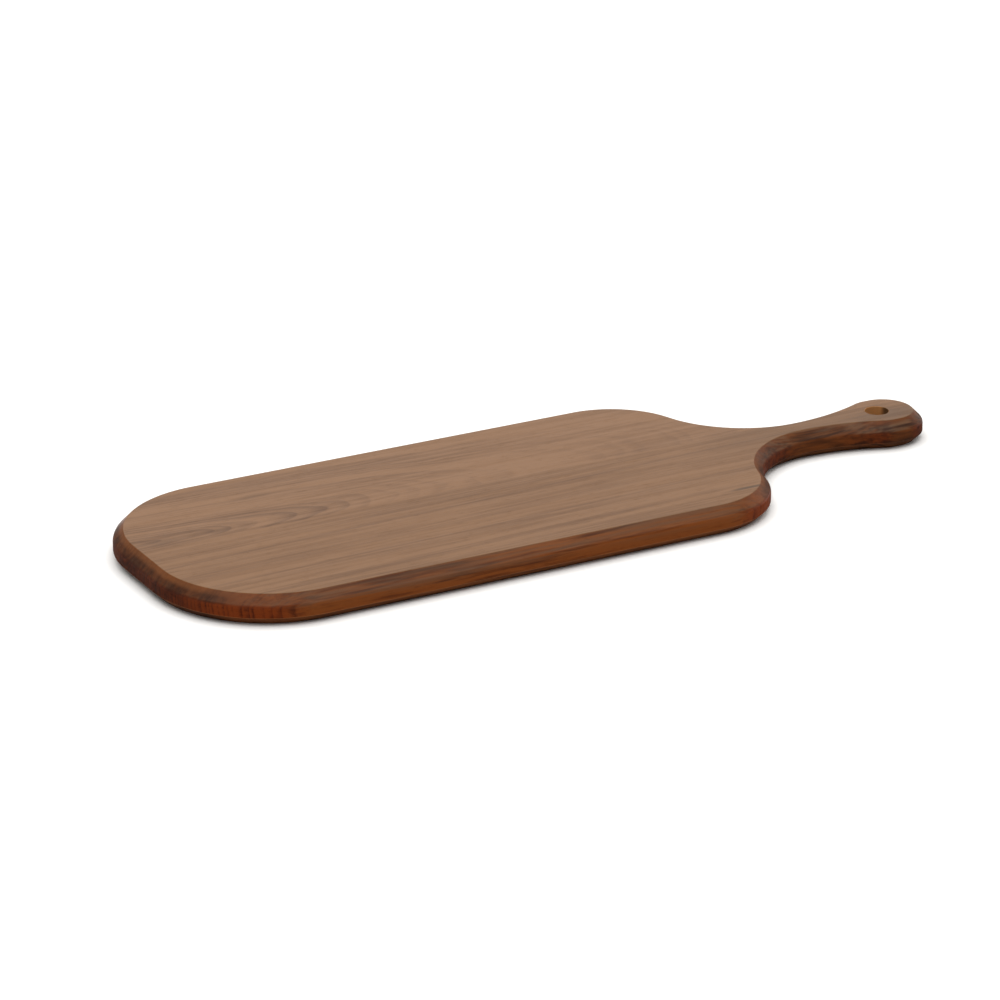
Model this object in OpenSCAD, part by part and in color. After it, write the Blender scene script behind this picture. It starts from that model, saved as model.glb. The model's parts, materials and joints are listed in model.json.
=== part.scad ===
// Paddle serving board: two hardwood planks, glued edge to edge and then cut to one paddle outline.
// The body has straight sides, a straight end with round corners, and shoulders that flow into a
// waisted handle with a rounded head. One bevel runs round the whole outline on each face, and a
// hang hole is drilled through the head.
// X runs along the board with the handle towards +X, Y runs across it and Z is up.
// The origin is in the middle of the bounding box, on the underside.

/* [Board] */
// Overall length, from the straight end to the tip of the handle
board_len = 572; // [500:1:700]
// Width of the body across its parallel sides
board_w = 203; // [190:1:240]
// Thickness of the planks after planing
board_t = 19; // [16:0.5:28]
// Radius of the two corners at the straight end
corner_r = 80; // [40:1:90]

/* [Handle] */
// Radius of the convex shoulders where the body ends
shoulder_r = 60; // [45:0.5:70]
// Radius of the concave neck between a shoulder and the handle
neck_r = 62.5; // [50:0.5:75]
// Width of the handle at its waist
neck_w = 26.6; // [24:0.1:34]
// Radius of the hollow sides of the grip
grip_r = 139.1; // [110:0.1:180]
// Width of the head at the end of the handle
head_w = 52; // [44:0.5:64]
// Length of the straight flanks of the head
head_flat = 4.4; // [1:0.1:12]

/* [Edges] */
// Width and height of the bevel round the top face
top_bevel = 6.8; // [3:0.1:8]
// Width and height of the bevel round the underside
bottom_bevel = 5.2; // [2:0.1:7]

/* [Hang hole] */
// Diameter of the hole
hole_d = 16; // [8:0.5:18]
// Distance from the tip of the handle to the middle of the hole
hole_from_tip = 32; // [24:0.5:38]
// Wood left between the hole and the glue line behind it
hole_web = 1.5; // [1:0.1:2.5]

/* [Hidden] */
$fn = 96;

// Distance by which a cutter runs past the solid that it cuts
past = 1;

half_w = board_w / 2;
neck_half = neck_w / 2;
head_r = head_w / 2;

// Distance by which the pieces of the handle run into each other
lap = neck_half / 4;

// Heights of the upright side, between the two bevels
side_low = bottom_bevel;
side_high = board_t - top_bevel;

// Places along the board, measured from the straight end. Each curve meets the next on the line
// through their two centres, so the outline has no corners.
shoulder_y = half_w - shoulder_r;
neck_y = neck_half + neck_r;
grip_y = neck_half + grip_r;
neck_run = sqrt(pow(shoulder_r + neck_r, 2) - pow(neck_y - shoulder_y, 2));
grip_run = sqrt(pow(grip_r + head_r, 2) - pow(grip_y, 2));
tip_x = board_len - head_r;
head_x = tip_x - head_flat;
neck_x = head_x - grip_run;
shoulder_x = neck_x - neck_run;
hole_x = board_len - hole_from_tip;

// The glue line runs the whole length, just behind the hang hole.
glue_y = hole_d / 2 + hole_web;

// Section of a bar `wide` across, with both of its sides bevelled
module bar_section(wide) {
    reach = wide / 2;
    polygon([
        [bottom_bevel - reach, 0],
        [reach - bottom_bevel, 0],
        [reach, side_low],
        [reach, side_high],
        [reach - top_bevel, board_t],
        [top_bevel - reach, board_t],
        [-reach, side_high],
        [-reach, side_low],
    ]);
}

// Half section of a disc of radius r with a bevelled edge
module disc_section(r) {
    polygon([
        [0, 0],
        [r - bottom_bevel, 0],
        [r, side_low],
        [r, side_high],
        [r - top_bevel, board_t],
        [0, board_t],
    ]);
}

// Half section of a cutter that leaves the same bevels on the hollow side of a curve of radius r
module hollow_section(r) {
    polygon([
        [0, -past],
        [r + bottom_bevel + past, -past],
        [r, side_low],
        [r, side_high],
        [r + top_bevel + past, board_t + past],
        [0, board_t + past],
    ]);
}

// Bar along X from x = start to x = stop, with bevelled sides
module bar(start, stop, wide) {
    translate([start, 0, 0])
        rotate([90, 0, 90])
            linear_extrude(height = stop - start)
                bar_section(wide);
}

// Round plate of radius r with a bevelled edge
module disc(centre, r) {
    translate([centre.x, centre.y, 0])
        rotate_extrude()
            disc_section(r);
}

// Plate over the outline `cell`, hollowed by a bevelled curve of radius r round `centre`
module hollow_plate(cell, centre, r) {
    difference() {
        linear_extrude(height = board_t)
            polygon(cell);
        translate([centre.x, centre.y, 0])
            rotate_extrude()
                hollow_section(r);
    }
}

// Rounded end of the body: its end bevel lies across the board, between the two corners
module straight_end() {
    corner_y = half_w - corner_r;
    translate([corner_r, 0, 0])
        rotate([0, 0, 90])
            bar(-corner_y, corner_y, 2 * corner_r);
    disc([corner_r, corner_y], corner_r);
    disc([corner_r, -corner_y], corner_r);
}

// One side of the handle, from the shoulder to the head. Each hollow plate ends on the line through
// the centres of its curve and the next one, where the two curves touch.
module handle_side() {
    shoulder = [shoulder_x, shoulder_y];
    neck = [neck_x, neck_y];
    grip = [neck_x, grip_y];
    disc(shoulder, shoulder_r);
    hollow_plate([
        [shoulder_x - lap, -lap],
        [neck_x, -lap],
        neck,
        shoulder,
        [shoulder_x - lap, shoulder_y],
    ], neck, neck_r);
    hollow_plate([
        [neck_x - lap, -lap],
        [head_x, -lap],
        [head_x, 0],
        grip,
        [neck_x - lap, grip_y],
    ], grip, grip_r);
}

// Head of the handle: two discs with a short straight flank between them
module head() {
    disc([head_x, 0], head_r);
    disc([tip_x, 0], head_r);
    bar(head_x, tip_x, head_w);
}

// Whole paddle, moved so that the origin is under the middle of its length
module paddle() {
    translate([-board_len / 2, 0, 0])
        union() {
            straight_end();
            bar(corner_r, shoulder_x, board_w);
            handle_side();
            mirror([0, 1, 0])
                handle_side();
            head();
        }
}

// Block that holds everything on one side of the glue line; `side` is 1 for the rear, -1 for the front
module glue_side(side) {
    depth = half_w + past;
    low_y = side > 0 ? glue_y : -depth;
    high_y = side > 0 ? depth : glue_y;
    translate([-board_len / 2 - past, low_y, -past])
        cube([board_len + 2 * past, high_y - low_y, board_t + 2 * past]);
}

// Straight-grained plank with the front of the body, most of the handle and the hang hole
module front_plank() {
    color("#7A4F36")
        difference() {
            intersection() {
                paddle();
                glue_side(-1);
            }
            translate([hole_x - board_len / 2, 0, -past])
                cylinder(h = board_t + 2 * past, d = hole_d);
        }
}

// Flat-sawn plank with the rear of the body and the rear edge of the handle
module rear_plank() {
    color("#8A5C3E")
        intersection() {
            paddle();
            glue_side(1);
        }
}

front_plank();
rear_plank();
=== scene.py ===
"""Looks of a paddle serving board: two glued walnut planks with a bevelled edge, on a pale studio floor."""
import json
import math
from functools import partial

import bpy
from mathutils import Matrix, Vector


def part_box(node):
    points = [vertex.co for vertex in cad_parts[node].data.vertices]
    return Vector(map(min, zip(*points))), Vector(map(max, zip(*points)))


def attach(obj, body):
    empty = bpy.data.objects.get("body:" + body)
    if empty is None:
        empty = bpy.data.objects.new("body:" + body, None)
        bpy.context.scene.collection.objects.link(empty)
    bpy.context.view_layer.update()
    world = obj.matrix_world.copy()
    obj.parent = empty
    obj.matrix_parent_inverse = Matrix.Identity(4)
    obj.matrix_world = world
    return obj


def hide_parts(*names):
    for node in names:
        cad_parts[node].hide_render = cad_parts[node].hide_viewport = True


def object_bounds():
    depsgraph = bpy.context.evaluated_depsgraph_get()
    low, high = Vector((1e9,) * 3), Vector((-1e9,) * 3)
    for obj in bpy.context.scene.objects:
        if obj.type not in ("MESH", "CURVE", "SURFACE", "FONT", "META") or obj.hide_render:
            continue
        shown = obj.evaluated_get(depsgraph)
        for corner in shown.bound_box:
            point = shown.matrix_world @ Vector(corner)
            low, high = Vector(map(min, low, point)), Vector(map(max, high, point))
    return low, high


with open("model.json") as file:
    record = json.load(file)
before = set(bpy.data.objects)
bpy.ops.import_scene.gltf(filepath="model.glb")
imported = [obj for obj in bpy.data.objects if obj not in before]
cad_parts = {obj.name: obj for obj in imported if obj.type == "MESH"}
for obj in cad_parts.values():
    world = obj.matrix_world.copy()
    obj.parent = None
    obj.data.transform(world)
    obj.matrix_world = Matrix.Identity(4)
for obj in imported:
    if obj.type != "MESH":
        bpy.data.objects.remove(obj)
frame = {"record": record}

bl_info = {
    "name": "Paddle serving board",
    "version": (1, 0, 0),
    "blender": (4, 5, 0),
    "location": "3D View > Sidebar > Serving board",
    "description": "Builds the planks of a paddle serving board and a studio to show them in",
    "category": "Add Mesh",
}

MM = 0.001
CAD_LOW, CAD_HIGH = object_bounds()
BOARD = CAD_HIGH - CAD_LOW
HANG_HOLE = next(m for m in frame["record"]["mounts"] if m["name"] == "hang_hole")
HOLE_X, HOLE_Y, _ = HANG_HOLE["pos_m"]
HOLE_RADIUS_MM = HANG_HOLE["dims"]["r_mm"]
GLUE_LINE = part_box("rear_plank")[0].y

# Longest straight step along a curve of the outline, steps round the hole, and segments across an eased arris
OUTLINE_STEP = 1.5 * MM
HOLE_STEPS = 96
ARRIS_SEGMENTS = 6
# Times its radius that an eased arris reaches onto the face beside it
FACE_REACH = 2.0
# Merge distance for the swept edge and the two faces that close it
WELD = 0.01 * MM
# Distance in metres by which the block that keeps one plank runs past the board
PAST = 1.0
# Edges that turn more than this, such as those of the glue face, are shaded sharp
SHARP = math.radians(30)
# Weighted normals follow the large faces alone, so that these look flat
LARGE_FACES = 100


def linear(code):
    """sRGB hex colour as linear red, green and blue."""
    parts = [int(code[i:i + 2], 16) / 255 for i in (1, 3, 5)]
    return tuple(c / 12.92 if c <= 0.04045 else ((c + 0.055) / 1.055) ** 2.4 for c in parts)


# What the oil takes from the wood's colour on a cut edge, part of it painted shade on the edge's sloped and
# upright faces, and once more where the edge crosses the fibres
EDGE_OIL_AND_SHADE = (0.83, 0.445, 0.17)
END_OIL = (0.9, 0.58, 0.3)
# Colour of the painted highlight along the lower arris, and of wood where sanding and use have taken the oil
# off the rim of the straight end
WORN_EDGE_AND_HIGHLIGHT = linear("#8F5C34")
# Wood without oil, as on the wall of the drilled hole, kept paler as painted light inside the hole
BARE_WOOD_AND_LIGHT = linear("#BE8853")
# Painted grey sheen, on long patches of the upper bevel
BEVEL_SHEEN = linear("#534030")
# Painted grey sheen on the handle's bevel
HANDLE_SHEEN = linear("#6A523D")
# Oil has an IOR of about 1.47. On open, sanded grain its gloss is weaker, so a lower one is matched here.
OILED_IOR = 1.22
# Depth of the relief that pores and rings leave after sanding, and how much of it the oil leaves to be seen
RELIEF_DEPTH = 0.08 * MM
RELIEF_SHOWN = 0.35

# Patterns of the grain: length along the fibres and width across them in millimetres, fineness, and place on
# the noise's fourth axis, which keeps them apart. Pores are drawn about twice as wide as real ones, so that
# they show.
GRAIN = {
    "streaks": (110.0, 3.6, 4.0, 3.0),
    "fibres": (45.0, 0.9, 3.0, 7.0),
    "pores": (9.0, 0.45, 1.0, 11.0),
    "clouds": (120.0, 38.0, 2.0, 17.0),
    "blotches": (30.0, 9.0, 3.0, 23.0),
    "bands": (70.0, 3.2, 3.0, 29.0),
    "patches": (85.0, 3.4, 2.0, 41.0),
    "smears": (38.0, 2.2, 2.0, 47.0),
}
GRAIN_ROUGHNESS = 0.6
# Noise along the radius of the log: steps for each ring, and fineness
RING_NOISE = {"uneven": (0.37, 2.0), "strong": (0.23, 1.0)}
# Rings by which the uneven growth moves a ring
RING_SHIFT = 2.2
# Values that most of a noise lies between, and the middle of a noise in three colours
NOISE = (0.3, 0.7)
NOISE_MIDDLE = (0.5, 0.5, 0.5)
# Tone of the wood before any pattern
PLAIN_TONE = 0.08
# Raggedness of a mineral mark's sides, and where its stain begins and is full, as shares of its half size
RAGGED = (-0.45, 0.45)
STAIN = (1.0, 0.3)
# Stretch along the board, in millimetres, over which the edge of the body turns into that of the handle
HANDLE = (112.0, 155.0)

# Where each plank lay in its log, in millimetres: the heart's place at the middle of the board, how far it
# drifts for each millimetre along the plank, how far and in which pattern it wanders, the width of a growth
# ring, how dark the late wood and whole groups of rings are, the stretch over which the rings grow faint, the
# place of its patterns on the noise's fourth axis, and the mineral marks, each with its centre, half size and
# depth of stain.
FLAT_SAWN = {
    "heart_y": 21.0, "heart_z": -26.0, "drift_y": 0.0, "drift_z": -0.15,
    "wander": 16.0, "wander_grain": (110.0, 60.0, 2.0, 0.0),
    "ring": 3.2, "lines": 0.45, "groups": 0.2, "calm_from": -120.0, "calm_to": 40.0, "seed": 5.0,
    "marks": [
        ((-261, 18, 16), (13, 6, 10), 0.22),
        ((-223, 18, 16), (10, 6, 10), 0.22),
        ((-180, 61, 16), (18, 5, 10), 0.18),
    ],
}
STRAIGHT = {
    "heart_y": 330.0, "heart_z": -40.0, "drift_y": 0.035, "drift_z": 0.0,
    "wander": 7.0, "wander_grain": (260.0, 60.0, 2.0, 0.0),
    "ring": 2.6, "lines": 0.28, "groups": 0.08, "calm_from": 0.0, "calm_to": 300.0, "seed": 2.0,
    "marks": [
        ((105, -77.5, 15), (20, 2.8, 11), 0.6),
        ((88.5, -96, 13), (7, 3, 3), 0.6),
        ((258, -9, 16), (52, 16, 20), 0.38),
        ((195, 0, 16), (95, 40, 30), 0.17),
    ],
}

# How the finish is worked out, value by value. A SPAN fades smoothly as its first value goes from the first
# limit to the second, and gives 0 to 1 or the two numbers after them. Any other row joins its parts in turn by
# that operation. A word is an earlier row, a pattern, a number of the log, or one of these: x and tall are the
# place along the board and the height above its underside in millimetres, across and upright are the parts of
# the surface's normal that point along the board and up, year is the place within a growth ring from 0 to 1,
# strong is the noise that sets how strong a ring is, from_hole is the distance from the middle of the hang
# hole in millimetres, and stain is how dark the mineral marks are.
FINISH = {
    # Growth rings: a slow rise to dark late wood, then a sharp step back to light early wood. Some groups of
    # rings are darker than others, and all of them grow faint along the plank.
    "late_rise": ("SPAN", "year", 0.2, 0.9),
    "late_fall": ("SPAN", "year", 1.0, 0.9),
    "late": ("MULTIPLY", "late_rise", "late_fall"),
    "calm": ("SPAN", "x", "calm_from", "calm_to", 1.0, 0.4),
    "strength": ("SPAN", "strong", *NOISE, 0.25, 1.0),
    "rings": ("MULTIPLY", "late", "strength", "calm"),
    "ring_tone": ("MULTIPLY", "rings", "lines"),
    "group_depth": ("SPAN", "strong", *NOISE, -1.0, 1.0),
    "group_tone": ("MULTIPLY", "group_depth", "groups", "calm"),

    # How the surface was cut: flatness is 1 on both faces and 0 on an upright side, and end_on is 1 where an
    # edge crosses the fibres squarely and 0 where it runs along them. The share just under 1 keeps steep above
    # 0 on a face.
    "flatness": ("ABSOLUTE", "upright"),
    "level": ("MULTIPLY", "upright", "upright", 0.9999),
    "steep_square": ("SUBTRACT", 1.0, "level"),
    "steep": ("SQRT", "steep_square"),
    "lengthwise": ("ABSOLUTE", "across"),
    "end_on": ("DIVIDE", "lengthwise", "steep"),
    "edge": ("SPAN", "flatness", 0.98, 0.6),
    "side": ("SPAN", "flatness", 0.5, 0.2),
    "cut": ("SPAN", "flatness", 0.95, 0.72),
    "long_grain": ("SPAN", "end_on", 0.45, 0.08),
    "handle": ("SPAN", "x", *HANDLE),

    # Tone from light to dark wood: streaks, fibres and clouds everywhere, and bands and smears on the edge,
    # where the lines stand out more. Long edges are paler towards the handle, and end grain shows its rings.
    "streak_tone": ("SPAN", "streaks", *NOISE, -0.16, 0.2),
    "fibre_tone": ("SPAN", "fibres", *NOISE, -0.16, 0.16),
    "cloud_tone": ("SPAN", "clouds", *NOISE, -0.1, 0.12),
    "band_depth": ("SPAN", "bands", 0.38, 0.66, -0.3, 0.75),
    "band_share": ("SPAN", "end_on", 0.08, 0.45, 1.0, 0.35),
    "band_tone": ("MULTIPLY", "band_depth", "band_share", "edge"),
    "smear_depth": ("SPAN", "smears", 0.36, 0.64, -0.3, 0.3),
    "smear_tone": ("MULTIPLY", "edge", "long_grain", "smear_depth"),
    "length_depth": ("SPAN", "x", -120.0, 40.0, 0.12, -0.22),
    "length_tone": ("MULTIPLY", "edge", "length_depth", "long_grain"),
    "side_tone": ("MULTIPLY", "side", -0.2, "long_grain"),
    "late_depth": ("SUBTRACT", "late", 0.4),
    "end_ring_share": ("SPAN", "end_on", 0.1, 0.4, 0.0, 0.55),
    "end_ring_tone": ("MULTIPLY", "late_depth", "end_ring_share", "side"),
    "tone": ("ADD", "ring_tone", PLAIN_TONE, "group_tone", "streak_tone", "fibre_tone", "cloud_tone",
             "band_tone", "smear_tone", "length_tone", "side_tone", "end_ring_tone"),

    # The edge is dark where it crosses the fibres and where hands hold the handle, less so towards its upper
    # rim;
    # painted shade darkens the foot of the handle's side and the lower bevel. The pores and the mineral marks
    # are dark as well, and the darkest of them shows.
    "crossing": ("SPAN", "end_on", 0.08, 0.45),
    "steepness": ("SPAN", "flatness", 0.9, 0.4),
    "ends": ("MULTIPLY", "crossing", "steepness"),
    "bevel_lead": ("SPAN", "flatness", 0.3, 0.65, 0.0, 0.2),
    "sooner": ("ADD", "end_on", "bevel_lead"),
    "squarely": ("SPAN", "sooner", 0.72, 1.05),
    "blotch_dark": ("SPAN", "blotches", 0.36, 0.60, 0.42, 0.66),
    "ends_dark": ("MULTIPLY", "squarely", "blotch_dark"),
    "bevel_share": ("SPAN", "tall", 12.5, 15.0, 0.78, 1.0),
    # Painted shade that darkens the foot of the handle's side
    "foot_share": ("SPAN", "tall", 5.5, 8.5, 1.35, 1.0),
    "smear_share": ("SPAN", "smears", 0.38, 0.62, 0.72, 1.28),
    "handle_dark": ("MULTIPLY", "handle", 0.53, "bevel_share", "foot_share", "smear_share"),
    "ends_or_handle": ("MAXIMUM", "ends_dark", "handle_dark"),
    "rim_share": ("SPAN", "tall", 15.2, 18.2, 1.08, 0.5),
    "edge_dark": ("MULTIPLY", "cut", "ends_or_handle", "rim_share"),
    # Painted shade on the lower bevel, which faces down towards the floor
    "facing_down": ("SPAN", "upright", -0.3, -0.6, 0.0, 0.25),
    "off_face": ("SPAN", "flatness", 0.98, 0.85),
    "under_dark": ("MULTIPLY", "facing_down", "off_face"),
    "open_pores": ("SPAN", "pores", 0.60, 0.70),
    "pore_dark": ("MULTIPLY", "open_pores", 0.22),
    "dark": ("MAXIMUM", "edge_dark", "under_dark", "pore_dark", "stain"),
    "shade": ("SUBTRACT", 1.0, "dark"),

    # Painted grey sheen: long patches on the upper bevel, which run down over its lower turn along the body,
    # and are fainter on end grain
    "end_foot": ("SPAN", "end_on", 0.08, 0.45, 8.0, 12.0),
    "handle_foot": ("SPAN", "x", 100.0, 130.0, 8.0, 12.0),
    "film_foot": ("MAXIMUM", "end_foot", "handle_foot"),
    "above_foot": ("SPAN", "tall", "film_foot", 13.0),
    "below_face": ("SPAN", "upright", 0.97, 0.85),
    "film_patches": ("SPAN", "patches", 0.4, 0.65, 0.0, 0.5),
    "film_share": ("SPAN", "end_on", 0.2, 0.75, 1.0, 0.25),
    "film": ("MULTIPLY", "above_foot", "below_face", "film_patches", "film_share"),

    # Painted highlight along the lower arris, fainter on the handle; sanding and use also leave the rim of the
    # straight end paler
    "arris_below": ("SPAN", "upright", -0.62, -0.38),
    "arris_above": ("SPAN", "upright", -0.12, -0.38, 0.0, 0.7),
    "arris_share": ("SPAN", "x", *HANDLE, 1.0, 0.4),
    "arris_worn": ("MULTIPLY", "arris_below", "arris_above", "arris_share"),
    "beside_face": ("SPAN", "flatness", 0.95, 0.85),
    "near_rim": ("SPAN", "tall", 14.8, 17.5, 0.0, 0.2),
    "straight_end": ("SPAN", "end_on", 0.6, 0.95),
    "rim_worn": ("MULTIPLY", "beside_face", "near_rim", "straight_end"),
    "worn": ("MAXIMUM", "arris_worn", "rim_worn"),

    # The drilled wall of the hole has little oil and is kept paler as painted light; it is darker where the
    # drill crossed the fibres, partly as painted shade
    "bore": ("SPAN", "from_hole", HOLE_RADIUS_MM + 0.35, HOLE_RADIUS_MM + 0.05),
    "bare_and_lit": ("MULTIPLY", "bore", 0.85),
    "bore_ends": ("SPAN", "end_on", 0.75, 1.0, 0.0, 0.8),
    "bore_dark": ("MULTIPLY", "bore", "bore_ends"),
    "bore_shade": ("SUBTRACT", 1.0, "bore_dark"),

    # Satin faces with duller pores; sides, lower bevel and end grain are rougher. Pores lie below the surface
    # and late wood stands a little above it.
    "satin": ("SPAN", "streaks", *NOISE, 0.32, 0.40),
    "pore_rough": ("MULTIPLY", "open_pores", 0.12),
    "side_rough": ("SPAN", "flatness", 0.5, 0.1, 0.0, 0.5),
    "under_rough": ("SPAN", "upright", -0.2, -0.6, 0.0, 0.55),
    "square_rough": ("SPAN", "end_on", 0.75, 1.0, 0.0, 0.35),
    "end_rough": ("MULTIPLY", "cut", "square_rough"),
    "rougher": ("MAXIMUM", "side_rough", "under_rough", "end_rough"),
    "roughness": ("ADD", "satin", "pore_rough", "rougher"),
    "ring_height": ("MULTIPLY", "rings", 0.35),
    "height": ("SUBTRACT", "ring_height", "open_pores"),
}

# Studio, in metres and watts: half the floor's side, and the soft box over the board
FLOOR_HALF = 12.0
SOFT_BOX_SIZE = 4.2
SOFT_BOX_POWER = 105.0
SOFT_BOX_PLACE = (-0.4, -0.1, 2.6)
# Matt paper: how rough it is, and the little gloss that it keeps
PAPER_ROUGHNESS = 0.9
PAPER_GLOSS = 0.1
# The room is brightest in this direction, behind the board on its right. The spans say between which limits
# its light changes, towards that side and up from the horizon, and what it changes from and to.
BRIGHT_SIDE = (0.65, 0.65, 0.40)
SIDE_LIGHT = (0.2, 0.9, 0.36, 1.2)
HORIZON_LIGHT = (0.0, 0.3, 0.2, 1.0)
ROOM_WHITE = (1.0, 0.99, 0.975)
# Width of the camera's sensor in millimetres, and the distances in metres between which it sees
SENSOR = 36.0
NEAR, FAR = 0.05, 100.0


def add(tree, kind, links=(), **settings):
    """Adds a node. Settings are its properties. Links give its shown inputs, in order or by name, a value, a
    socket, a node whose first shown output is meant, or a list of these for an input that joins several."""
    node = tree.nodes.new(kind)
    for name, value in settings.items():
        setattr(node, name, value)
    shown = [socket for socket in node.inputs if socket.enabled]
    named = {socket.name: socket for socket in reversed(shown)}
    for place, value in links.items() if isinstance(links, dict) else enumerate(links):
        socket = named[place] if isinstance(place, str) else shown[place]
        for each in value if isinstance(value, list) else [value]:
            if isinstance(each, bpy.types.Node):
                each = next(output for output in each.outputs if output.enabled)
            if isinstance(each, bpy.types.NodeSocket):
                tree.links.new(each, socket)
            else:
                socket.default_value = each
    return node


class BoardSizes(bpy.types.PropertyGroup):
    """Sizes of the board: those of its solids, and the radii that sanding leaves."""
    corner_radius: bpy.props.FloatProperty(
        name="Corner radius", description="Radius of the corners at the straight end",
        default=80 * MM, min=0, unit="LENGTH")
    shoulder_radius: bpy.props.FloatProperty(
        name="Shoulder radius", description="Radius of the convex shoulders where the body ends",
        default=60 * MM, min=0, unit="LENGTH")
    neck_radius: bpy.props.FloatProperty(
        name="Neck radius", description="Radius of the hollow between a shoulder and the handle",
        default=62.5 * MM, min=0, unit="LENGTH")
    neck_width: bpy.props.FloatProperty(
        name="Waist", description="Width of the handle at its waist",
        default=26.6 * MM, min=0, unit="LENGTH")
    grip_radius: bpy.props.FloatProperty(
        name="Grip radius", description="Radius of the hollow sides of the grip",
        default=139.1 * MM, min=0, unit="LENGTH")
    head_width: bpy.props.FloatProperty(
        name="Head width", description="Width of the head of the handle",
        default=52 * MM, min=0, unit="LENGTH")
    head_flat: bpy.props.FloatProperty(
        name="Head flank", description="Length of the straight flanks of the head",
        default=4.4 * MM, min=0, unit="LENGTH")
    top_bevel: bpy.props.FloatProperty(
        name="Top bevel", description="Width and height of the bevel round the top face",
        default=6.8 * MM, min=0, unit="LENGTH")
    bottom_bevel: bpy.props.FloatProperty(
        name="Bottom bevel", description="Width and height of the bevel round the underside",
        default=5.2 * MM, min=0, unit="LENGTH")
    arris: bpy.props.FloatProperty(
        name="Eased arris", description="Radius that sanding leaves on the arrises of the edge",
        default=0.9 * MM, min=0, unit="LENGTH")
    hole_arris: bpy.props.FloatProperty(
        name="Hole arris", description="Radius of the eased rims of the hang hole",
        default=0.4 * MM, min=0, unit="LENGTH")
    brow: bpy.props.FloatProperty(
        name="Brow", description="Radius of the softer turn from the top bevel to the upright side",
        default=4.5 * MM, min=0, unit="LENGTH")


class BoardWood(bpy.types.PropertyGroup):
    """Colours of the two planks."""
    front_light: bpy.props.FloatVectorProperty(
        name="Front, light", description="Early wood of the front plank",
        default=linear("#795637"), size=3, subtype="COLOR", min=0, max=1)
    front_dark: bpy.props.FloatVectorProperty(
        name="Front, dark", description="Late wood of the front plank",
        default=linear("#50331C"), size=3, subtype="COLOR", min=0, max=1)
    rear_light: bpy.props.FloatVectorProperty(
        name="Rear, light", description="Early wood of the rear plank",
        default=linear("#7D5A3C"), size=3, subtype="COLOR", min=0, max=1)
    rear_dark: bpy.props.FloatVectorProperty(
        name="Rear, dark", description="Late wood of the rear plank",
        default=linear("#543720"), size=3, subtype="COLOR", min=0, max=1)


class BoardStage(bpy.types.PropertyGroup):
    """Camera and floor."""
    azimuth: bpy.props.FloatProperty(
        name="Azimuth", description="Turn of the camera round the board",
        default=math.radians(-28.754), subtype="ANGLE")
    elevation: bpy.props.FloatProperty(
        name="Elevation", description="Height of the camera above the horizon",
        default=math.radians(21.713), subtype="ANGLE")
    distance: bpy.props.FloatProperty(
        name="Distance", description="Distance from the camera to the point it looks at",
        default=2.809, min=0.1, unit="LENGTH")
    lens: bpy.props.FloatProperty(
        name="Lens", description="Focal length for a 36 mm sensor, in millimetres",
        default=156.7, min=1)
    aim: bpy.props.FloatVectorProperty(
        name="Aim", description="Point on the floor that the camera looks at",
        default=(-21.3 * MM, 21.3 * MM, 0), size=3, subtype="TRANSLATION")
    floor: bpy.props.FloatVectorProperty(
        name="Floor", description="Colour of the floor",
        default=linear("#F4F3F1"), size=3, subtype="COLOR", min=0, max=1)


def arc(centre, radius, start, stop):
    """Points on an arc from angle start to angle stop, no further apart than OUTLINE_STEP."""
    count = max(2, math.ceil(abs(stop - start) * radius / OUTLINE_STEP))
    turns = [start + (stop - start) * i / count for i in range(count + 1)]
    return [(centre[0] + radius * math.cos(a), centre[1] + radius * math.sin(a)) for a in turns]


def paddle_outline(sizes):
    """Closed outline of the board, clockwise from the straight end. Each curve touches the next one."""
    half, waist, head = BOARD.y / 2, sizes.neck_width / 2, sizes.head_width / 2
    quarter = math.pi / 2
    tip_x = CAD_HIGH.x - head
    head_x = tip_x - sizes.head_flat
    grip_y = waist + sizes.grip_radius
    neck_x = head_x - math.sqrt((sizes.grip_radius + head) ** 2 - grip_y ** 2)
    neck_y = waist + sizes.neck_radius
    shoulder_y = half - sizes.shoulder_radius
    rise = neck_y - shoulder_y
    shoulder_x = neck_x - math.sqrt((sizes.shoulder_radius + sizes.neck_radius) ** 2 - rise ** 2)
    corner = (CAD_LOW.x + sizes.corner_radius, half - sizes.corner_radius)
    lean = math.atan2(rise, neck_x - shoulder_x)
    fall = math.atan2(grip_y, head_x - neck_x)
    upper = [
        *arc(corner, sizes.corner_radius, 2 * quarter, quarter),
        *arc((shoulder_x, shoulder_y), sizes.shoulder_radius, quarter, lean),
        *arc((neck_x, neck_y), sizes.neck_radius, lean - 2 * quarter, -quarter),
        *arc((neck_x, grip_y), sizes.grip_radius, -quarter, -fall)[1:],
        *arc((head_x, 0), head, 2 * quarter - fall, quarter)[1:],
        *arc((tip_x, 0), head, quarter, 0),
    ]
    kept = [upper[0]]
    for point in upper[1:]:
        if math.dist(point, kept[-1]) > WELD:
            kept.append(point)
    return kept + [(x, -y) for x, y in reversed(kept[:-1])]


def outline_curve(sizes):
    """The outline as a closed curve for the node tree to follow."""
    data = bpy.data.curves.new("paddle_outline", "CURVE")
    data.dimensions = "3D"
    points = paddle_outline(sizes)
    spline = data.splines.new("POLY")
    spline.points.add(len(points) - 1)
    for point, (x, y) in zip(spline.points, points):
        point.co = (x, y, 0, 1)
    spline.use_cyclic_u = True
    curve = bpy.data.objects.new("paddle_outline", data)
    bpy.context.scene.collection.objects.link(curve)
    return curve


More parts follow.
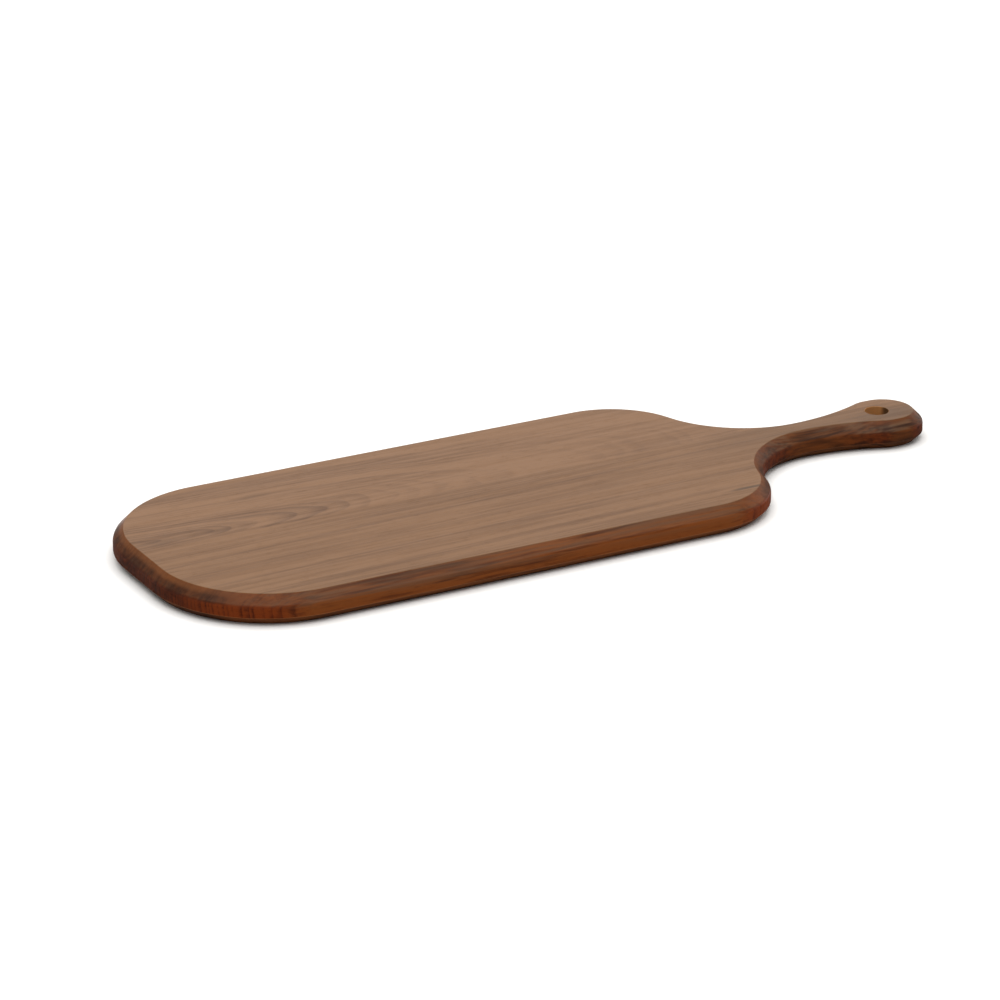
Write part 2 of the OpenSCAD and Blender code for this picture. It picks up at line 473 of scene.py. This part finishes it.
def plank_tree():
    """Node tree that sweeps the edge profile round the outline, closes both faces, drills the hole
    and keeps the part on one side of the glue line."""
    tree = bpy.data.node_groups.new("plank", "GeometryNodeTree")
    kinds = {
        "Object": ["Outline"],
        "Float": ["Thickness", "Top bevel", "Bottom bevel", "Arris", "Brow", "Hole radius", "Hole arris"],
        "Vector": ["Hole place", "Keep centre", "Keep size"],
        "Material": ["Wood"],
    }
    for kind, names in kinds.items():
        for name in names:
            tree.interface.new_socket(name, in_out="INPUT", socket_type="NodeSocket" + kind)
    tree.interface.new_socket("Plank", in_out="OUTPUT", socket_type="NodeSocketGeometry")
    node = partial(add, tree)
    given = node("NodeGroupInput").outputs
    thickness, arris, hole_arris = given["Thickness"], given["Arris"], given["Hole arris"]
    top_bevel, bottom_bevel = given["Top bevel"], given["Bottom bevel"]

    def profile(points, radii):
        """Open curve through the points, with each corner eased by its own radius."""
        index = node("GeometryNodeInputIndex").outputs[0]
        places = [node("ShaderNodeCombineXYZ", point).outputs[0] for point in points]
        by_point = {}
        for kind, values in (("VECTOR", places), ("FLOAT", radii)):
            field = by_point[kind] = node("GeometryNodeIndexSwitch", data_type=kind)
            while len(field.index_switch_items) < len(values):
                field.index_switch_items.new()
            for place, value in enumerate([index, *values]):
                tree.links.new(value, field.inputs[place])
        line = node("GeometryNodeMeshLine", {"Count": len(points)})
        placed = node("GeometryNodeSetPosition", {"Geometry": line, "Position": by_point["VECTOR"]})
        curve = node("GeometryNodeMeshToCurve", [placed])
        return node("GeometryNodeFilletCurve", {
            "Curve": curve, "Radius": by_point["FLOAT"], "Count": ARRIS_SEGMENTS}, mode="POLY")

    # The profile's X is the distance in from the outline, and its Y points down. It reaches a little
    # way onto each face, so that the arris there is eased as well.
    reach = node("ShaderNodeMath", [arris, FACE_REACH], operation="MULTIPLY")
    top_inset = node("ShaderNodeMath", [top_bevel, reach], operation="ADD")
    bottom_inset = node("ShaderNodeMath", [bottom_bevel, reach], operation="ADD")
    top = node("ShaderNodeMath", [thickness, -1.0], operation="MULTIPLY")
    side_low = node("ShaderNodeMath", [bottom_bevel, -1.0], operation="MULTIPLY")
    side_high = node("ShaderNodeMath", [top, top_bevel], operation="ADD")
    edge = profile([
        (bottom_inset, 0.0),
        (bottom_bevel, 0.0),
        (0.0, side_low),
        (0.0, side_high),
        (top_bevel, top),
        (top_inset, top),
    ], [arris, arris, arris, given["Brow"], arris, arris])
    outline = node("GeometryNodeObjectInfo", [given["Outline"]]).outputs["Geometry"]
    path = node("GeometryNodeSetCurveNormal", [outline], mode="Z_UP")
    band = node("GeometryNodeCurveToMesh", [path, edge])

    # Wall of the hang hole, with both of its rims eased
    ring = node("GeometryNodeCurvePrimitiveCircle", {"Resolution": HOLE_STEPS, "Radius": given["Hole radius"]})
    ring_up = node("GeometryNodeSetCurveNormal", [ring], mode="Z_UP")
    ring_at = node("GeometryNodeTransform", {"Geometry": ring_up, "Translation": given["Hole place"]})
    rim = node("ShaderNodeMath", [hole_arris, FACE_REACH], operation="MULTIPLY")
    wall = profile([(rim, 0.0), (0.0, 0.0), (0.0, top), (rim, top)], [hole_arris] * 4)
    bore = node("GeometryNodeCurveToMesh", [ring_at, wall])

    # The two faces, each from the outline drawn in to the edge band and the hole drawn out to its rim
    normal = node("GeometryNodeInputNormal")
    faces = []
    for inset, height in ((top_inset, thickness), (bottom_inset, 0.0)):
        borders = []
        for loop, step in ((path, inset), (ring_at, rim)):
            aside = node("ShaderNodeVectorMath", [normal, step], operation="SCALE")
            borders.append(node("GeometryNodeSetPosition", {"Geometry": loop, "Offset": aside}))
        both = node("GeometryNodeJoinGeometry", [borders])
        filled = node("GeometryNodeFillCurve", [both])
        up = node("ShaderNodeCombineXYZ", {"Z": height})
        faces.append(node("GeometryNodeTransform", {"Geometry": filled, "Translation": up}))
    faces[1] = node("GeometryNodeFlipFaces", [faces[1]])
    parts = node("GeometryNodeJoinGeometry", [[band, bore, *faces]])
    whole = node("GeometryNodeMergeByDistance", {"Geometry": parts, "Distance": WELD})

    # The part inside this block is the plank
    block = node("GeometryNodeMeshCube", {"Size": given["Keep size"]})
    beside = node("GeometryNodeTransform", {"Geometry": block, "Translation": given["Keep centre"]})
    cut = node("GeometryNodeMeshBoolean", [[whole, beside]], operation="INTERSECT", solver="EXACT")
    smooth = node("GeometryNodeSetShadeSmooth", [cut])
    real = node("GeometryNodeRealizeInstances", [smooth])
    finished = node("GeometryNodeSetMaterial", {"Geometry": real, "Material": given["Wood"]})
    node("NodeGroupOutput", [finished])
    return tree


def plank(name, rear, wood):
    """Makes one plank with the node tree and gives it back as a plain mesh object."""
    sizes = bpy.context.scene.board_sizes
    curve = outline_curve(sizes)
    tree = plank_tree()
    low, high = (GLUE_LINE, CAD_HIGH.y + PAST) if rear else (CAD_LOW.y - PAST, GLUE_LINE)
    values = {
        "Outline": curve, "Thickness": BOARD.z, "Wood": wood,
        "Top bevel": sizes.top_bevel, "Bottom bevel": sizes.bottom_bevel,
        "Arris": sizes.arris, "Brow": sizes.brow, "Hole arris": sizes.hole_arris,
        "Hole radius": HOLE_RADIUS_MM * MM, "Hole place": (HOLE_X, HOLE_Y, 0),
        "Keep centre": (0, (low + high) / 2, 0), "Keep size": (2 * PAST, high - low, PAST),
    }
    maker = bpy.data.objects.new(name + "_maker", bpy.data.meshes.new(name + "_maker"))
    bpy.context.scene.collection.objects.link(maker)
    nodes = maker.modifiers.new("Plank", "NODES")
    nodes.node_group = tree
    for socket in tree.interface.items_tree:
        if socket.in_out == "INPUT":
            nodes[socket.identifier] = values[socket.name]
    maker.update_tag()
    made = maker.evaluated_get(bpy.context.evaluated_depsgraph_get())
    mesh = bpy.data.meshes.new_from_object(made)
    mesh.name = name
    maker.modifiers.clear()
    for spare in (maker, curve):
        bpy.data.objects.remove(spare)
    if not mesh.polygons:
        raise RuntimeError(f"{name}: the node tree gave no mesh")
    mesh.set_sharp_from_angle(angle=SHARP)
    piece = bpy.data.objects.new(name, mesh)
    bpy.context.scene.collection.objects.link(piece)
    weighted = piece.modifiers.new("Flat faces stay flat", "WEIGHTED_NORMAL")
    weighted.weight = LARGE_FACES
    weighted.keep_sharp = True
    return piece


def walnut(name, light, dark, log):
    """Oiled walnut, cut from a log whose heart lies where `log` says. The eye sees growth rings as the saw
    met them, arches where it ran along a ring and straight lines where it ran across, darker end grain,
    short open pores along the fibres, and a satin oil finish that turns hazy at a flat angle."""
    material = bpy.data.materials.new(name)
    material.use_nodes = True
    tree = material.node_tree
    tree.nodes.clear()
    node = partial(add, tree)
    coordinates = node("ShaderNodeTexCoord").outputs
    mm = node("ShaderNodeVectorMath", [coordinates["Object"], 1 / MM], operation="SCALE")

    # Fibres run along the plank, so every pattern is long that way
    value = dict(log)
    for pattern, (length, width, detail, shift) in {**GRAIN, "wandering": log["wander_grain"]}.items():
        sized = node("ShaderNodeVectorMath", [mm, (1 / length, 1 / width, 1 / width)], operation="MULTIPLY")
        value[pattern] = node("ShaderNodeTexNoise", {
            "Vector": sized, "W": log["seed"] + shift, "Scale": 1.0, "Detail": detail,
            "Roughness": GRAIN_ROUGHNESS,
        }, noise_dimensions="4D")

    # Distance from the heart, which wanders slowly along the log, counted in growth rings of uneven width
    wandering = value["wandering"].outputs["Color"]
    centred = node("ShaderNodeVectorMath", [wandering, NOISE_MIDDLE], operation="SUBTRACT")
    reach = (0.0, log["wander"], log["wander"])
    place = node("ShaderNodeVectorMath", [centred, reach, mm], operation="MULTIPLY_ADD")
    x, y, z = node("ShaderNodeSeparateXYZ", [place]).outputs
    offsets = []
    for spot, drift, start in ((y, log["drift_y"], log["heart_y"]), (z, log["drift_z"], log["heart_z"])):
        heart = node("ShaderNodeMath", [x, drift, start], operation="MULTIPLY_ADD")
        offsets.append(node("ShaderNodeMath", [spot, heart], operation="SUBTRACT"))
    apart = node("ShaderNodeCombineXYZ", offsets)
    radius = node("ShaderNodeVectorMath", [apart], operation="LENGTH")
    years = node("ShaderNodeMath", [radius, log["ring"]], operation="DIVIDE")
    for pattern, (steps, detail) in RING_NOISE.items():
        along = node("ShaderNodeMath", [years, steps], operation="MULTIPLY")
        value[pattern] = node("ShaderNodeTexNoise", {"W": along, "Scale": 1.0, "Detail": detail},
                              noise_dimensions="1D")
    shifted = node("ShaderNodeMath", [value["uneven"], RING_SHIFT, years], operation="MULTIPLY_ADD")
    value["year"] = node("ShaderNodeMath", [shifted], operation="FRACT")

    # Mineral marks: each a long lens with ragged sides, at its own place in the plank
    value["stain"] = 0.0
    ragged = node("ShaderNodeMapRange", [value["fibres"], *NOISE, *RAGGED], interpolation_type="SMOOTHSTEP")
    for centre, half, depth in log["marks"]:
        off = node("ShaderNodeVectorMath", [mm, centre], operation="SUBTRACT")
        lens = node("ShaderNodeVectorMath", [off, half], operation="DIVIDE")
        far = node("ShaderNodeVectorMath", [lens], operation="LENGTH")
        border = node("ShaderNodeMath", [far, ragged], operation="ADD")
        mark = node("ShaderNodeMapRange", [border, *STAIN, 0.0, depth], interpolation_type="SMOOTHSTEP")
        value["stain"] = node("ShaderNodeMath", [value["stain"], mark], operation="MAXIMUM")

    value["x"] = x
    value["tall"] = node("ShaderNodeSeparateXYZ", [mm]).outputs["Z"]
    value["across"], _, value["upright"] = node("ShaderNodeSeparateXYZ", [coordinates["Normal"]]).outputs
    flat = node("ShaderNodeVectorMath", [mm, (1.0, 1.0, 0.0)], operation="MULTIPLY")
    hole = (HOLE_X / MM, HOLE_Y / MM, 0.0)
    value["from_hole"] = node("ShaderNodeVectorMath", [flat, hole], operation="DISTANCE")
    for row, (how, *parts) in FINISH.items():
        made, *rest = [value[part] if isinstance(part, str) else part for part in parts]
        if how == "SPAN":
            made = node("ShaderNodeMapRange", [made, *rest], interpolation_type="SMOOTHSTEP")
        elif not rest:
            made = node("ShaderNodeMath", [made], operation=how)
        else:
            for part in rest:
                made = node("ShaderNodeMath", [made, part], operation=how)
        value[row] = made

    # Coats over the plain tone, each with how much of it shows: oil in the cut edge, which makes it deeper and
    # redder, with painted shade in it, more oil in its end grain, dark parts with painted shade, a painted
    # grey sheen, a painted highlight on the lower arris and paler wood at the straight end's rim, the hole's
    # wall with painted light, its ends with painted shade
    # Colour of the painted grey sheen: one on the body's bevels, another on the handle's
    film = node("ShaderNodeMix", [value["handle"], (*BEVEL_SHEEN, 1), (*HANDLE_SHEEN, 1)], data_type="RGBA")
    coats = (
        (value["edge"], (*EDGE_OIL_AND_SHADE, 1), "MULTIPLY"),
        (value["ends"], (*END_OIL, 1), "MULTIPLY"),
        (1.0, value["shade"], "MULTIPLY"),
        (value["film"], film, "MIX"),
        (value["worn"], (*WORN_EDGE_AND_HIGHLIGHT, 1), "MIX"),
        (value["bare_and_lit"], (*BARE_WOOD_AND_LIGHT, 1), "MIX"),
        (1.0, value["bore_shade"], "MULTIPLY"),
    )
    colour = node("ShaderNodeMix", [value["tone"], (*light, 1), (*dark, 1)], data_type="RGBA")
    for share, coat, blend in coats:
        colour = node("ShaderNodeMix", [share, colour, coat], data_type="RGBA", blend_type=blend)

    relief = node("ShaderNodeBump", {
        "Strength": RELIEF_SHOWN, "Distance": RELIEF_DEPTH, "Height": value["height"]})
    shader = node("ShaderNodeBsdfPrincipled", {
        "Base Color": colour, "Roughness": value["roughness"], "IOR": OILED_IOR, "Normal": relief})
    node("ShaderNodeOutputMaterial", {"Surface": shader})
    return material


class BOARD_OT_front_plank(bpy.types.Operator):
    """Make the straight-grained plank with the front of the body, most of the handle and the hang hole"""
    bl_idname = "board.front_plank"
    bl_label = "Front plank"

    def execute(self, context):
        tint = context.scene.board_wood
        wood = walnut("oiled_walnut_straight_grained", tint.front_light, tint.front_dark, STRAIGHT)
        piece = plank("front_plank_finished", False, wood)
        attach(piece, "root")
        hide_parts("front_plank")
        return {"FINISHED"}


class BOARD_OT_rear_plank(bpy.types.Operator):
    """Make the flat-sawn plank with the rear of the body and the rear edge of the handle"""
    bl_idname = "board.rear_plank"
    bl_label = "Rear plank"

    def execute(self, context):
        tint = context.scene.board_wood
        wood = walnut("oiled_walnut_flat_sawn", tint.rear_light, tint.rear_dark, FLAT_SAWN)
        piece = plank("rear_plank_finished", True, wood)
        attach(piece, "root")
        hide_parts("rear_plank")
        return {"FINISHED"}


class BOARD_OT_stage(bpy.types.Operator):
    """Make the pale floor, the soft light and the camera"""
    bl_idname = "board.stage"
    bl_label = "Studio"

    def execute(self, context):
        scene = context.scene
        stage = scene.board_stage

        # Floor: matt white paper without any sheen, big enough to fill the view
        paper = bpy.data.materials.new("matt_white_paper")
        paper.use_nodes = True
        shader = paper.node_tree.nodes["Principled BSDF"]
        shader.inputs["Base Color"].default_value = (*stage.floor, 1)
        shader.inputs["Roughness"].default_value = PAPER_ROUGHNESS
        shader.inputs["Specular IOR Level"].default_value = PAPER_GLOSS
        corners = [(x * FLOOR_HALF, y * FLOOR_HALF, 0) for x, y in ((-1, -1), (1, -1), (1, 1), (-1, 1))]
        sheet = bpy.data.meshes.new("studio_floor")
        sheet.from_pydata(corners, [], [(0, 1, 2, 3)])
        sheet.materials.append(paper)
        floor = bpy.data.objects.new("studio_floor", sheet)
        scene.collection.objects.link(floor)

        # White room, brightest behind the board on its right and dim near the horizon
        room = bpy.data.worlds.new("white_room")
        room.use_nodes = True
        room.node_tree.nodes.clear()
        node = partial(add, room.node_tree)
        way = node("ShaderNodeTexCoord").outputs["Generated"]
        turn = node("ShaderNodeVectorMath", [way, BRIGHT_SIDE], operation="DOT_PRODUCT")
        rise = node("ShaderNodeSeparateXYZ", [way]).outputs["Z"]
        side = node("ShaderNodeMapRange", [turn, *SIDE_LIGHT], interpolation_type="SMOOTHSTEP")
        horizon = node("ShaderNodeMapRange", [rise, *HORIZON_LIGHT], interpolation_type="SMOOTHSTEP")
        light = node("ShaderNodeMath", [side, horizon], operation="MULTIPLY")
        glow = node("ShaderNodeBackground", {"Color": (*ROOM_WHITE, 1), "Strength": light})
        node("ShaderNodeOutputWorld", {"Surface": glow})
        scene.world = room

        # One large soft box overhead keeps the floor white up to the board, and shows as a grey sheen on the
        # bevels
        lamp = bpy.data.lights.new("soft_box", "AREA")
        lamp.shape = "SQUARE"
        lamp.size = SOFT_BOX_SIZE
        lamp.energy = SOFT_BOX_POWER
        box = bpy.data.objects.new("soft_box", lamp)
        box.location = SOFT_BOX_PLACE
        scene.collection.objects.link(box)

        lens = bpy.data.cameras.new("photo_camera")
        lens.sensor_width = SENSOR
        lens.lens = stage.lens
        lens.clip_start, lens.clip_end = NEAR, FAR
        camera = bpy.data.objects.new("photo_camera", lens)
        flat = math.cos(stage.elevation)
        back = Vector((math.sin(stage.azimuth) * flat, -math.cos(stage.azimuth) * flat,
                       math.sin(stage.elevation)))
        camera.location = Vector(stage.aim) + back * stage.distance
        camera.rotation_mode = "QUATERNION"
        camera.rotation_quaternion = (-back).to_track_quat("-Z", "Y")
        scene.collection.objects.link(camera)
        scene.camera = camera
        scene.view_settings.view_transform = "Standard"
        return {"FINISHED"}


class BOARD_PT_panel(bpy.types.Panel):
    """Sizes, colours and pieces of the board"""
    bl_idname = "BOARD_PT_panel"
    bl_label = "Serving board"
    bl_space_type = "VIEW_3D"
    bl_region_type = "UI"
    bl_category = "Serving board"

    def draw(self, context):
        for group in (context.scene.board_sizes, context.scene.board_wood, context.scene.board_stage):
            box = self.layout.box()
            for name in group.__annotations__:
                box.prop(group, name)
        for maker in OPERATORS:
            self.layout.operator(maker.bl_idname)


GROUPS = {"board_sizes": BoardSizes, "board_wood": BoardWood, "board_stage": BoardStage}
OPERATORS = (BOARD_OT_front_plank, BOARD_OT_rear_plank, BOARD_OT_stage)


def register():
    for kind in (*GROUPS.values(), *OPERATORS, BOARD_PT_panel):
        bpy.utils.register_class(kind)
    for name, kind in GROUPS.items():
        setattr(bpy.types.Scene, name, bpy.props.PointerProperty(type=kind))


def unregister():
    for name in GROUPS:
        delattr(bpy.types.Scene, name)
    for kind in reversed((*GROUPS.values(), *OPERATORS, BOARD_PT_panel)):
        bpy.utils.unregister_class(kind)


def main():
    register()
    bpy.ops.board.front_plank()
    bpy.ops.board.rear_plank()
    bpy.ops.board.stage()


if __name__ == "__main__":
    main()
